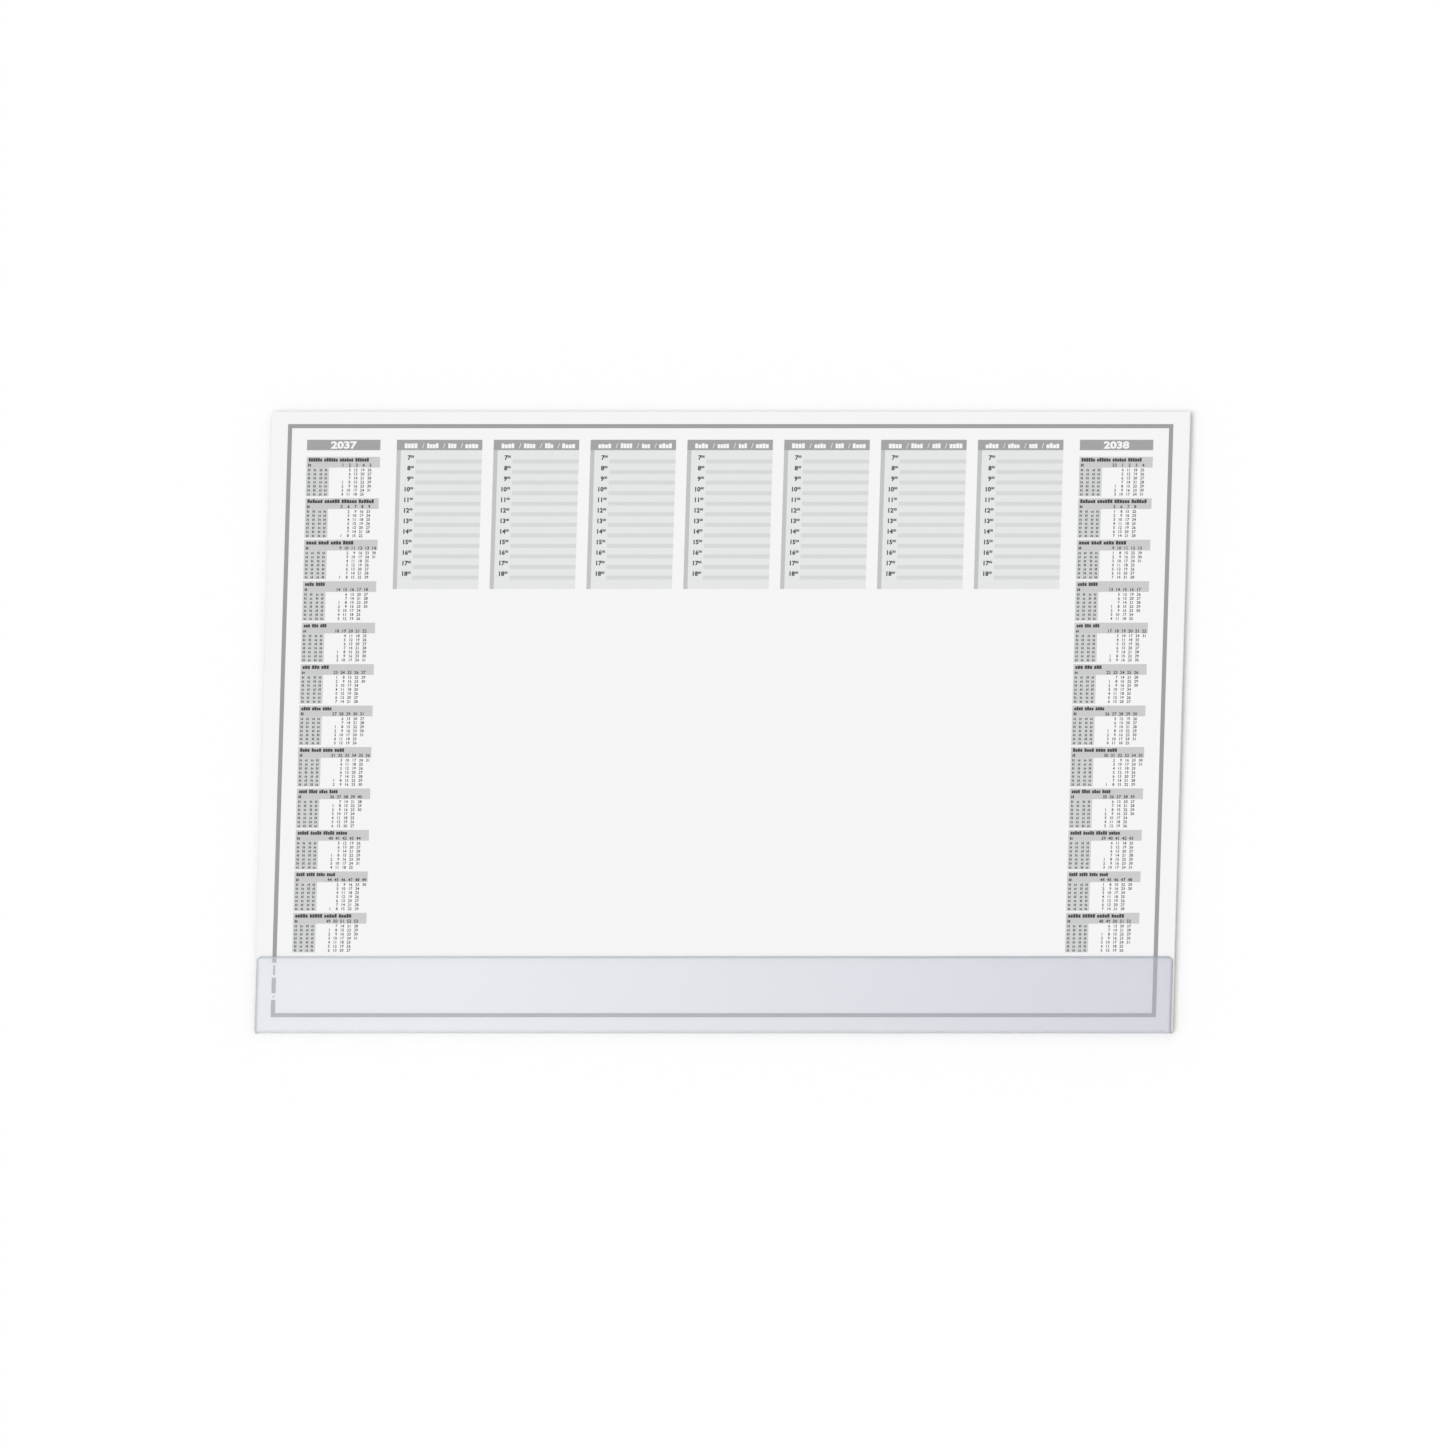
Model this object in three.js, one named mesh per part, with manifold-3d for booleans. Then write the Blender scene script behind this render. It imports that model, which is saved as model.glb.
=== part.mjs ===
// A desk pad: printed planner sheets on a grey board, glued along the front edge, with a clear
// protective strip folded round that edge. Millimetres, +Z up, +X along the long side, and -Y
// towards the person who writes on it. The origin is the middle of the footprint, on the desk.

import * as THREE from "three";
import { mergeVertices } from "three/addons/utils/BufferGeometryUtils.js";
import Module from "manifold-3d";

const wasm = await Module();
wasm.setup();

// Sheets, board and padding glue
const PAD_WIDTH = 595;
const PAD_DEPTH = 410;
const SHEET_COUNT = 50;
const SHEET_THICKNESS = 0.1;
const BOARD_THICKNESS = 1;
const GLUE_THICKNESS = 0.3;

// Protective strip. Its web stands off the glued edge by the fold's inside radius, so that the
// square edges of the pad sit in its bends.
const FILM_THICKNESS = 0.3;
const FILM_SIDE_INSET = 0.5;
const UPPER_FLAP_DEPTH = 48.5;
const LOWER_FLAP_DEPTH = 30;
const FILM_CORNER_RADIUS = 2.5;
const FOLD_INSIDE_RADIUS = 0.5;
const FLAP_CLEARANCE = 0.3;
const FLAP_LIFT_DEGREES = 0.5;
const FOLD_STEPS = 8;
const CORNER_STEPS = 6;

// Adhesive band between the board and the strip's lower flap
const ADHESIVE_THICKNESS = 0.1;
const ADHESIVE_DEPTH = 20;
const ADHESIVE_FRONT_INSET = 4;
const ADHESIVE_SIDE_INSET = 3;

// Layers of ink. A rule that is printed over a tint stands a little higher.
const INK_THICKNESS = 0.05;
const OVERPRINT_THICKNESS = 0.03;

// Border frame of the printed sheet
const BORDER_SIDE_INSET = 10.6;
const BORDER_END_INSET = 8.3;
const BORDER_WIDTH = 2.7;

// Row of headings along the rear edge
const HEADING_INSET = 18.7;
const HEADING_HEIGHT = 6.9;

// Calendars at the left and the right, twelve months each. They end clear of the strip.
const CALENDAR_SIDE_INSET = 23.3;
const CALENDAR_WIDTH = 47.5;
const CALENDAR_TOP_GAP = 4.4;
const CALENDAR_STRIP_GAP = 2.8;
const MONTH_COUNT = 12;
const MONTH_GAP = 1.3;
const MONTH_BAND_HEIGHT = 7.1;
const WEEKDAY_FIELD_WIDTH = 14.8;

// Day columns between the calendars
const DAY_COUNT = 7;
const DAY_FIELD_GAP = 10.7;
const DAY_GUTTER = 7.4;
const MARGIN_RULE_WIDTH = 2.7;
const HOUR_FIELD_WIDTH = 12.6;
const HOUR_COUNT = 12;
const HOUR_PITCH = 7;
const HOUR_RULE_WIDTH = 2.6;
const PANEL_HEAD_SPACE = 7.5;
const PANEL_FOOT_SPACE = 7.6;

// Heights of the layers, from the desk upwards
const BOARD_Z = FILM_THICKNESS + ADHESIVE_THICKNESS;
const SHEETS_Z = BOARD_Z + BOARD_THICKNESS;
const BLOCK_THICKNESS = SHEET_COUNT * SHEET_THICKNESS;
const PRINT_Z = SHEETS_Z + BLOCK_THICKNESS;

// Depths, with the strip's web as the front of everything
const WEB_STANDOFF = GLUE_THICKNESS + FOLD_INSIDE_RADIUS;
const REAR_Y = (PAD_DEPTH + WEB_STANDOFF + FILM_THICKNESS) / 2;
const FRONT_Y = REAR_Y - PAD_DEPTH;
const GLUE_FRONT_Y = FRONT_Y - GLUE_THICKNESS;

// Finishes
const PAPER = { color: 0xf5f5f5, roughness: 0.85 };
const GREY_BOARD = { color: 0xa8a49c, roughness: 0.9 };
const GLUE = { color: 0xeeeeea, roughness: 0.6 };
const ADHESIVE = { color: 0xe6e4dc, roughness: 0.5 };
const FILM = { color: 0xdfe4ee, roughness: 0.2, transparent: true, opacity: 0.45 };
const BORDER_INK = { color: 0xa2a3a3, roughness: 0.8 };
const HEADING_INK = { color: 0xa6a6a6, roughness: 0.8 };
const RULE_INK = { color: 0xbfc0c0, roughness: 0.8 };
const PANEL_TINT = { color: 0xe5e5e5, roughness: 0.8 };
const MONTH_TINT = { color: 0xcdcecd, roughness: 0.8 };

function addPiece(parent, name, geometry, finish) {
  const mesh = new THREE.Mesh(geometry, new THREE.MeshStandardMaterial(finish));
  mesh.name = name;
  parent.add(mesh);
  return mesh;
}

function addGroup(parent, x, y, z) {
  const child = new THREE.Group();
  child.position.set(x, y, z);
  parent.add(child);
  return child;
}

// A rectangle in plan, from its left, right, front and rear sides
function rectangle(left, right, front, rear) {
  return new THREE.Shape([
    new THREE.Vector2(left, front),
    new THREE.Vector2(right, front),
    new THREE.Vector2(right, rear),
    new THREE.Vector2(left, rear),
  ]);
}

function plate(outline, thickness) {
  return new THREE.ExtrudeGeometry(outline, { depth: thickness, bevelEnabled: false });
}

function toSolid(geometry) {
  const bare = geometry.clone();
  bare.deleteAttribute("normal");
  bare.deleteAttribute("uv");
  const merged = mergeVertices(bare);
  return new wasm.Manifold(
    new wasm.Mesh({
      numProp: 3,
      vertProperties: new Float32Array(merged.attributes.position.array),
      triVerts: new Uint32Array(merged.index.array),
    }),
  );
}

function joined(geometries) {
  const whole = geometries.map(toSolid).reduce((sum, solid) => sum.add(solid));
  const { vertProperties, triVerts } = whole.getMesh();
  const geometry = new THREE.BufferGeometry();
  geometry.setAttribute("position", new THREE.BufferAttribute(vertProperties, 3));
  geometry.setIndex(new THREE.BufferAttribute(triVerts, 1));
  geometry.computeVertexNormals();
  return geometry;
}

// The strip is one flat film with rounded corners, folded twice. Each station is a line across it:
// a place on the inner face in the Y-Z plane, the heading of the film there, and how far its ends
// stand in from the sides. The walk starts at the rear of the lower flap and ends at the free edge.
function stripStations() {
  const stations = [];
  const place = new THREE.Vector2(FRONT_Y + LOWER_FLAP_DEPTH, FILM_THICKNESS);
  let heading = Math.PI;

  const roundedEnd = Array.from({ length: CORNER_STEPS + 1 }, (_, step) => {
    const turn = ((Math.PI / 2) * step) / CORNER_STEPS;
    return {
      fromEnd: FILM_CORNER_RADIUS * (1 - Math.cos(turn)),
      inset: FILM_CORNER_RADIUS * (1 - Math.sin(turn)),
    };
  });
  const mark = (inset = 0) => {
    stations.push({ place: place.clone(), heading, inset: FILM_SIDE_INSET + inset });
  };
  const run = (distance) => {
    place.x += distance * Math.cos(heading);
    place.y += distance * Math.sin(heading);
  };
  const bendTo = (newHeading) => {
    const turn = (newHeading - heading) / FOLD_STEPS;
    const chord = 2 * FOLD_INSIDE_RADIUS * Math.sin(Math.abs(turn) / 2);
    for (let step = 0; step < FOLD_STEPS; step += 1) {
      heading += turn / 2;
      run(chord);
      heading += turn / 2;
      mark();
    }
  };

  // Lower flap, from its rounded rear corners to the first bend at the glued edge
  roundedEnd.forEach(({ fromEnd, inset }, step) => {
    run(step === 0 ? 0 : fromEnd - roundedEnd[step - 1].fromEnd);
    mark(inset);
  });
  run(place.x - GLUE_FRONT_Y);
  mark();
  bendTo(Math.PI / 2);

  // Web up the front, to where the second bend starts under the upper flap
  const lift = THREE.MathUtils.degToRad(FLAP_LIFT_DEGREES);
  const innerTop = PRINT_Z + FLAP_CLEARANCE;
  run(innerTop - FOLD_INSIDE_RADIUS - place.y);
  mark();
  bendTo(lift);

  // Upper flap, lifting slightly towards its rounded free corners
  const flatLength = (FRONT_Y + UPPER_FLAP_DEPTH - place.x) / Math.cos(lift);
  run(flatLength - FILM_CORNER_RADIUS);
  mark();
  const freeEnd = roundedEnd.toReversed();
  freeEnd.slice(1).forEach(({ fromEnd, inset }, step) => {
    run(freeEnd[step].fromEnd - fromEnd);
    mark(inset);
  });
  return stations;
}

// Four corners at each station, inner left, inner right, outer right and outer left, with a wall
// of four quads from each station to the next and a cap at either end
function foldedStrip() {
  const stations = stripStations();
  const positions = [];
  const index = [];
  const corners = 4;
  stations.forEach(({ place, heading, inset }) => {
    const side = PAD_WIDTH / 2 - inset;
    const outerY = place.x - FILM_THICKNESS * Math.sin(heading);
    const outerZ = place.y + FILM_THICKNESS * Math.cos(heading);
    positions.push(-side, place.x, place.y, side, place.x, place.y);
    positions.push(side, outerY, outerZ, -side, outerY, outerZ);
  });
  for (let station = 0; station + 1 < stations.length; station += 1) {
    const here = station * corners;
    for (let corner = 0; corner < corners; corner += 1) {
      const next = (corner + 1) % corners;
      index.push(here + corner, here + corners + corner, here + corners + next);
      index.push(here + corner, here + corners + next, here + next);
    }
  }
  const last = (stations.length - 1) * corners;
  index.push(0, 1, 2, 0, 2, 3);
  index.push(last, last + 2, last + 1, last, last + 3, last + 2);

  const geometry = new THREE.BufferGeometry();
  geometry.setAttribute("position", new THREE.Float32BufferAttribute(positions, 3));
  geometry.setIndex(index);
  geometry.computeVertexNormals();
  return geometry;
}

function addPad(pad) {
  const side = PAD_WIDTH / 2;
  const footprint = rectangle(-side, side, FRONT_Y, REAR_Y);
  addPiece(pad, "back_board", plate(footprint, BOARD_THICKNESS), GREY_BOARD).position.z = BOARD_Z;
  addPiece(pad, "sheet_block", plate(footprint, BLOCK_THICKNESS), PAPER).position.z = SHEETS_Z;

  const glue = plate(rectangle(-side, side, GLUE_FRONT_Y, FRONT_Y), PRINT_Z - BOARD_Z);
  addPiece(pad, "edge_glue", glue, GLUE).position.z = BOARD_Z;

  const bandSide = side - ADHESIVE_SIDE_INSET;
  const bandFront = FRONT_Y + ADHESIVE_FRONT_INSET;
  const band = rectangle(-bandSide, bandSide, bandFront, bandFront + ADHESIVE_DEPTH);
  const adhesive = addPiece(pad, "strip_adhesive", plate(band, ADHESIVE_THICKNESS), ADHESIVE);
  adhesive.position.z = FILM_THICKNESS;

  addPiece(pad, "protective_strip", foldedStrip(), FILM);
}

// The print is placed from the sheet's rear left corner: +X across the sheet, -Y down the page
function addBorder(page) {
  const right = PAD_WIDTH - BORDER_SIDE_INSET;
  const front = BORDER_END_INSET - PAD_DEPTH;
  const frame = rectangle(BORDER_SIDE_INSET, right, front, -BORDER_END_INSET);
  frame.holes.push(
    rectangle(
      BORDER_SIDE_INSET + BORDER_WIDTH,
      right - BORDER_WIDTH,
      front + BORDER_WIDTH,
      -BORDER_END_INSET - BORDER_WIDTH,
    ),
  );
  addPiece(page, "border_frame", plate(frame, INK_THICKNESS), BORDER_INK);
}

// A month's field is a band across its top and the weekday field down its left side
function monthField(height) {
  return new THREE.Shape([
    new THREE.Vector2(0, 0),
    new THREE.Vector2(0, -height),
    new THREE.Vector2(WEEKDAY_FIELD_WIDTH, -height),
    new THREE.Vector2(WEEKDAY_FIELD_WIDTH, -MONTH_BAND_HEIGHT),
    new THREE.Vector2(CALENDAR_WIDTH, -MONTH_BAND_HEIGHT),
    new THREE.Vector2(CALENDAR_WIDTH, 0),
  ]);
}

function addCalendar(page, side, left) {
  const calendar = addGroup(page, left, -HEADING_INSET, 0);
  const bar = rectangle(0, CALENDAR_WIDTH, -HEADING_HEIGHT, 0);
  addPiece(calendar, `year_bar_${side}`, plate(bar, INK_THICKNESS), HEADING_INK);

  const top = HEADING_HEIGHT + CALENDAR_TOP_GAP;
  const bottom = PAD_DEPTH - UPPER_FLAP_DEPTH - CALENDAR_STRIP_GAP - HEADING_INSET;
  const pitch = (bottom - top + MONTH_GAP) / MONTH_COUNT;
  for (let month = 0; month < MONTH_COUNT; month += 1) {
    const name = `month_field_${side}_${String(month + 1).padStart(2, "0")}`;
    const field = addPiece(calendar, name, plate(monthField(pitch - MONTH_GAP), INK_THICKNESS), MONTH_TINT);
    field.position.y = -top - month * pitch;
  }
}

// A day's panel is a light tint with one rule for each hour printed over it
function dayPanel(width, depth) {
  const thickness = INK_THICKNESS + OVERPRINT_THICKNESS;
  const layers = [plate(rectangle(MARGIN_RULE_WIDTH, width, -depth, 0), INK_THICKNESS)];
  for (let hour = 0; hour < HOUR_COUNT; hour += 1) {
    const middle = -PANEL_HEAD_SPACE - hour * HOUR_PITCH;
    const front = middle - HOUR_RULE_WIDTH / 2;
    layers.push(plate(rectangle(HOUR_FIELD_WIDTH, width, front, front + HOUR_RULE_WIDTH), thickness));
  }
  return joined(layers);
}

function addDays(page) {
  const first = CALENDAR_SIDE_INSET + CALENDAR_WIDTH + DAY_FIELD_GAP;
  const pitch = (PAD_WIDTH - 2 * first + DAY_GUTTER) / DAY_COUNT;
  const width = pitch - DAY_GUTTER;
  const depth = PANEL_HEAD_SPACE + (HOUR_COUNT - 1) * HOUR_PITCH + PANEL_FOOT_SPACE;
  for (let day = 0; day < DAY_COUNT; day += 1) {
    const column = addGroup(page, first + day * pitch, -HEADING_INSET, 0);
    const heading = rectangle(0, width, -HEADING_HEIGHT, 0);
    addPiece(column, `day_heading_${day + 1}`, plate(heading, INK_THICKNESS), HEADING_INK);

    const body = addGroup(column, 0, -HEADING_HEIGHT, 0);
    const rule = rectangle(0, MARGIN_RULE_WIDTH, -depth, 0);
    addPiece(body, `margin_rule_${day + 1}`, plate(rule, INK_THICKNESS), RULE_INK);
    addPiece(body, `day_panel_${day + 1}`, dayPanel(width, depth), PANEL_TINT);
  }
}

const group = new THREE.Group();
addPad(group);
const page = addGroup(group, -PAD_WIDTH / 2, REAR_Y, PRINT_Z);
addBorder(page);
addCalendar(page, "left", CALENDAR_SIDE_INSET);
addCalendar(page, "right", PAD_WIDTH - CALENDAR_SIDE_INSET - CALENDAR_WIDTH);
addDays(page);

export default group;
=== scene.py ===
"""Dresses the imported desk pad: paper, print, grey board, glue and the folded protective strip.

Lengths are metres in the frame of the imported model: +X along the long side, +Y away from the
writer and +Z up. Places on the printed page are counted across and down from a field's corner.
"""

import calendar
import datetime
import math
from typing import NamedTuple

import bmesh
import bpy
from bpy.props import FloatProperty, FloatVectorProperty, IntProperty, PointerProperty
from mathutils import Matrix, Vector


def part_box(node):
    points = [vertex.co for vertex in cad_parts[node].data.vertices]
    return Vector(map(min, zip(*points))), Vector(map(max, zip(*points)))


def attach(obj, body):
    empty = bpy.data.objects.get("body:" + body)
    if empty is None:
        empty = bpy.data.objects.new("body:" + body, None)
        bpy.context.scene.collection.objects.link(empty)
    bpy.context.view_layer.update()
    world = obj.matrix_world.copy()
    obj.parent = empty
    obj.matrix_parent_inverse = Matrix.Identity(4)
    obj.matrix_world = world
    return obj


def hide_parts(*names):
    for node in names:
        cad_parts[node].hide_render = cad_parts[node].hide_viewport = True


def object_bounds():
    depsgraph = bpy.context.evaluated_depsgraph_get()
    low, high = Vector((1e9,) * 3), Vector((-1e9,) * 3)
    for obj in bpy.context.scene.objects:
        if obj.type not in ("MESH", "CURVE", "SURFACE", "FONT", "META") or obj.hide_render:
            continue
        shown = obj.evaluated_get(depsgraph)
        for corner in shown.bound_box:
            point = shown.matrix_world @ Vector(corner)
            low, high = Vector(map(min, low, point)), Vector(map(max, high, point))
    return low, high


bl_info = {
    "name": "Desk Pad",
    "version": (1, 0, 0),
    "blender": (4, 5, 0),
    "location": "3D View > Sidebar > Desk Pad",
    "description": "Builds the paper, print and protective strip of a desk pad",
    "category": "Object",
}

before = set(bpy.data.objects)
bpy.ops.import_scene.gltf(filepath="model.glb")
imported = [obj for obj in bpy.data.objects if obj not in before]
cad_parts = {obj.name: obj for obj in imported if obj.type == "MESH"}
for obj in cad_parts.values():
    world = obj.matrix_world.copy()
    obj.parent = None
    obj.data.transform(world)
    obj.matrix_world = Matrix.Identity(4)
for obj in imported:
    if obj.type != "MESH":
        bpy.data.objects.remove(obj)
CAD_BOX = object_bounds()

MM = 0.001
BODY = "root"
SIDES = ("left", "right")
YEARS = {"left": 2037, "right": 2038}
DAYS = range(1, 8)
MONTHS = range(1, 13)
HOURS = range(7, 19)
WEEK = 7

# Heights of the page, of the fields on it and of the rules printed over the day panels
SHEETS_LOW, SHEETS_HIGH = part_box("sheet_block")
PAGE_Z = SHEETS_HIGH.z
FIELD_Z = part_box("border_frame")[1].z
PANEL_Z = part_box("day_panel_1")[1].z
INK = FIELD_Z - PAGE_Z

# Seeds of what varies at random
SHEET_SHIFT_SEED = 4
SHEET_TONE_SEED = 9
STROKE_SEED = 3


class Finish(NamedTuple):
    """Roughness of a surface, strength of its clouds and fibres, and strength of its relief."""

    roughness: float
    cloud: float
    fibre: float
    relief: float


PAPER_FINISH = Finish(roughness=0.85, cloud=0.012, fibre=0.03, relief=0.25)
INK_FINISH = Finish(roughness=0.8, cloud=0.01, fibre=0.05, relief=0.2)
BOARD_FINISH = Finish(roughness=0.92, cloud=0.1, fibre=0.4, relief=0.8)
GLUE_FINISH = Finish(roughness=0.5, cloud=0.03, fibre=0.04, relief=1)
ADHESIVE_FINISH = Finish(roughness=0.45, cloud=0.05, fibre=0.02, relief=0.25)

# Paper: detail and roughness of its noises, depth of its relief, its shine, and the least share
# of the cut edges' colour that a sheet's edge shows
NOISE_DETAIL = {"Cloud": 2, "Fibre": 6}
NOISE_ROUGHNESS = 0.6
RELIEF_DEPTH = 0.02 * MM
PAPER_SHINE = 0.3
LEAST_EDGE_TONE = 0.5

# Protective strip: steps of its mesh, its waves (rate, phase and share of each), the share of
# its half width at which the film starts to darken, and its scuffs
FILM_COLUMNS = 48
RUN_STEPS = 2
BEND_STEPS = 12
CORNER_STEPS = 4
FLAP_STEPS = 14
FILM_WAVES = ((9.3, 0.7, 0.6), (21.7, 2.1, 0.4))
SHARP_ANGLE = math.radians(40)
NO_LENGTH = 1e-7
DARKENING_START = -0.6
SCUFF_SIZE = 6 * MM
SCUFF_DETAIL = 5
FILM_ROUGHNESS = (0.14, 0.26)
FILM_IOR = 1.5

# Numerals: height of a figure in the font's own size, its step as a share of that height, how
# much its strokes are thickened, how finely its curves are drawn, and how much wider a year is
CAP_SHARE = 0.69
ADVANCE_SHARE = 0.72
DATE_BOLDNESS = 0.035
HOUR_BOLDNESS = 0.06
NUMERAL_RESOLUTION = 2
MERGE_DISTANCE = 1e-4
YEAR_STRETCH = 1.3

# Strokes: step of a group's strokes and height of its shortest, as shares of the height
STROKE_PITCH = 0.62
EVEN = 1
MONTH_SHORTEST = 0.7
HEADING_SHORTEST = 0.72

# Gaps in the border's left side with a fine mark in each, in millimetres down the page
BORDER_WIDTH = 2.7 * MM
BORDER_GAPS = [(365.6, 375.4), (385.8, 390.2)]
BORDER_MARK_MARGIN = 1.6 * MM
BORDER_MARK_WIDTH = 1.3 * MM

# Layout of a month, across and down from the corner of its field. Each month's title has the
# place in millimetres where it ends, and its number of groups. A cover is the inked share.
MONTH_BAND_HEIGHT = 7.1 * MM
TITLE_LEFT = 1.3 * MM
TITLE_BASE = 3.2 * MM
TITLE_HEIGHT = 2.5 * MM
TITLE_GAP = 1.1 * MM
TITLES = [
    (40.5, 4), (44.5, 4), (32, 4), (14.3, 2), (16.2, 3), (18.5, 3),
    (21, 3), (30, 4), (26.6, 4), (33.5, 4), (26.5, 4), (37.8, 4),
]
TITLE_COVER = 0.86
WEEKDAY_COLUMNS = [2.0, 5.7, 9.6, 12.9]
WEEKDAY_HALF_WIDTH = 0.9 * MM
WEEKDAY_HEIGHT = 1.7 * MM
WEEKDAY_COVER = 0.6
FIRST_ROW = 8.7 * MM
ROW_PITCH = 2.68 * MM
FIRST_WEEK = 23.0 * MM
WEEK_PITCH = 4.48 * MM
WEEK_ROW_BASE = 6.5 * MM
WEEK_NUMBER_HEIGHT = 2.0 * MM
WEEK_MARK = (1.1, 3.1)
WEEK_MARK_COVER = 0.7

# Layout of a day column, across and down from the corner of its heading. The groups of
# strokes and the slashes between them are in millimetres.
HEADING_WORDS = [(5.1, 13.6), (19.6, 27.2), (33.3, 38.8), (44.4, 53.0)]
HEADING_SLASHES = [16.4, 30.0, 41.4]
HEADING_BASE = 5.6 * MM
HEADING_HEIGHT = 3.3 * MM
HEADING_COVER = 0.86
SLASH_WIDTH = 0.35 * MM
SLASH_LEAN = 1.1 * MM
HOUR_RIGHT = 9.2 * MM
MINUTE_RIGHT = 11.4 * MM
MINUTES = "00"
FIRST_RULE = 7.5 * MM
HOUR_PITCH = 7.0 * MM
HOUR_ABOVE_RULE = 2.6 * MM

# Stage: the floor's place and its opening under the pad, and the camera's distance
FLOOR_DROP = 0.1 * MM
FLOOR_REACH = 4
FLOOR_INSET = 2 * MM
CAMERA_DISTANCE = 2


def srgb(red, green, blue):
    """The linear colour that shows as this screen colour of 0 to 255."""
    shown = (red / 255, green / 255, blue / 255)
    return tuple(s / 12.92 if s <= 0.04045 else ((s + 0.055) / 1.055) ** 2.4 for s in shown)


def colour_setting(name, description, colour):
    return FloatVectorProperty(
        name=name, description=description, subtype="COLOR", size=3, min=0, max=1, default=srgb(*colour)
    )


def length_setting(name, description, millimetres):
    return FloatProperty(name=name, description=description, unit="LENGTH", default=millimetres * MM)


def angle_setting(name, description, degrees):
    return FloatProperty(
        name=name, description=description, subtype="ANGLE", default=math.radians(degrees)
    )


def share_setting(name, description, share):
    return FloatProperty(
        name=name, description=description, subtype="FACTOR", min=0, max=1, default=share
    )


class PaperSettings(bpy.types.PropertyGroup):
    """The block of sheets, its glue and the board under it."""

    paper: colour_setting("Paper", "Colour of the sheets", (245, 245, 245))
    cut_edge: colour_setting("Cut edge", "Colour of the sheets' cut edges", (240, 240, 238))
    board: colour_setting("Board", "Colour of the grey board", (166, 162, 154))
    glue: colour_setting("Glue", "Colour of the padding glue", (236, 236, 232))
    adhesive: colour_setting("Adhesive", "Colour of the strip's adhesive band", (228, 226, 218))
    sheet_count: IntProperty(
        name="Sheets", description="Number of sheets in the block", subtype="UNSIGNED", default=50
    )
    sheet_gap: length_setting("Sheet gap", "Air between two sheets at their edges", 0.012)
    sheet_spread: length_setting("Sheet spread", "How far a sheet may stand out of the block", 0.12)
    cloud_size: length_setting("Cloud size", "Size of the faint cloudy tone in the paper", 14)
    fibre_size: length_setting("Fibre size", "Size of the paper's fibres", 0.5)


class InkSettings(bpy.types.PropertyGroup):
    """Colours of the printed fields, and sizes of the figures and marks on them."""

    border: colour_setting("Border", "Frame round the page", (158, 159, 159))
    heading: colour_setting("Heading", "Year bars and day headings", (163, 163, 163))
    rule: colour_setting("Margin rule", "Upright rule beside each day panel", (194, 196, 195))
    panel: colour_setting("Panel", "Day panels", (229, 231, 230))
    hour_rule: colour_setting("Hour rule", "Rules across a day panel", (215, 217, 216))
    month_band: colour_setting("Month band", "Band across a month's top", (203, 204, 203))
    weekday_field: colour_setting("Weekday field", "Field down a month's left side", (209, 211, 210))
    dark: colour_setting("Dark ink", "Figures and dark marks", (66, 68, 70))
    light: colour_setting("Light ink", "Marks left out of a dark field", (247, 247, 247))
    layer: length_setting("Ink layer", "Thickness of the figures' ink", 0.02)
    date_height: length_setting("Date height", "Height of the dates", 1.8)
    hour_height: length_setting("Hour height", "Height of the hours", 2.8)
    minute_height: length_setting("Minute height", "Height of the raised minutes", 1.5)
    year_height: length_setting("Year height", "Height of the year", 4.4)


class StripSettings(bpy.types.PropertyGroup):
    """The clear film folded round the front edge."""

    left_tint: colour_setting("Left tint", "Colour of the film at its left end", (241, 246, 252))
    right_tint: colour_setting("Right tint", "Colour of the film at its right end", (214, 218, 230))
    left_density: share_setting("Left density", "Opacity of one face of the film, left", 0.21)
    right_density: share_setting("Right density", "Opacity of one face of the film, right", 0.25)
    # The rim settings paint shade along the film's cut edges: a darker, denser line for the light that
    # the cut edge refracts away.
    rim_density: share_setting("Rim density", "Opacity added at a cut edge", 0.35)
    rim_shade: share_setting("Rim shade", "Share of its tint that a cut edge keeps", 0.58)
    rim_width: length_setting("Rim width", "Width of the dense line along a cut edge", 2)
    lift: angle_setting("Lift", "Rise of the upper flap", 0.5)
    ripple: length_setting("Ripple", "Height of the faint waves at the free edge", 0.12)
    corner_radius: length_setting("Corner radius", "Rounding of the film's free corners", 2.5)
    clearance: length_setting("Clearance", "Air between the film and its adhesive", 0.01)


class StageSettings(bpy.types.PropertyGroup):
    """Camera, light and floor."""

    front_tilt: angle_setting("Front tilt", "Lean of the view towards the writer", 14)
    right_tilt: angle_setting("Right tilt", "Lean of the view to the right", 7)
    picture_width: length_setting("Picture width", "Width of the view across the pad", 930)
    sky: share_setting("Sky", "Strength of the even light from all round", 0.79)
    key: share_setting("Key", "Strength of the lamp, as a share of a full light", 0.21)
    key_lean: angle_setting("Key lean", "Angle of the lamp from straight above", 25)
    key_spread: angle_setting("Key spread", "Width of the lamp as the pad sees it", 25)


def set_inputs(tree, node, inputs):
    """Gives a node's inputs, by name or number, plain values or the sockets that feed them."""
    for name, value in inputs.items():
        if isinstance(value, bpy.types.NodeSocket):
            tree.links.new(value, node.inputs[name])
        else:
            node.inputs[name].default_value = value


def add_node(tree, kind, inputs=None, **settings):
    """A node with its settings, which decide what inputs it has, and then those inputs."""
    node = tree.nodes.new(kind)
    for name, setting in settings.items():
        setattr(node, name, setting)
    set_inputs(tree, node, inputs or {})
    return node


def add_sockets(tree, in_out, sockets):
    for name, kind in sockets.items():
        tree.interface.new_socket(name, in_out=in_out, socket_type=kind)


def math_node(tree, operation, first, second):
    """A Math node's result. Its operands are sockets or plain numbers."""
    return add_node(tree, "ShaderNodeMath", {0: first, 1: second}, operation=operation).outputs[0]


def split_xyz(tree, vector):
    return add_node(tree, "ShaderNodeSeparateXYZ", {0: vector}).outputs


def join_xyz(tree, **parts):
    return add_node(tree, "ShaderNodeCombineXYZ", parts).outputs[0]


def object_place(tree):
    return tree.nodes.new("ShaderNodeTexCoord").outputs["Object"]


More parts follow.
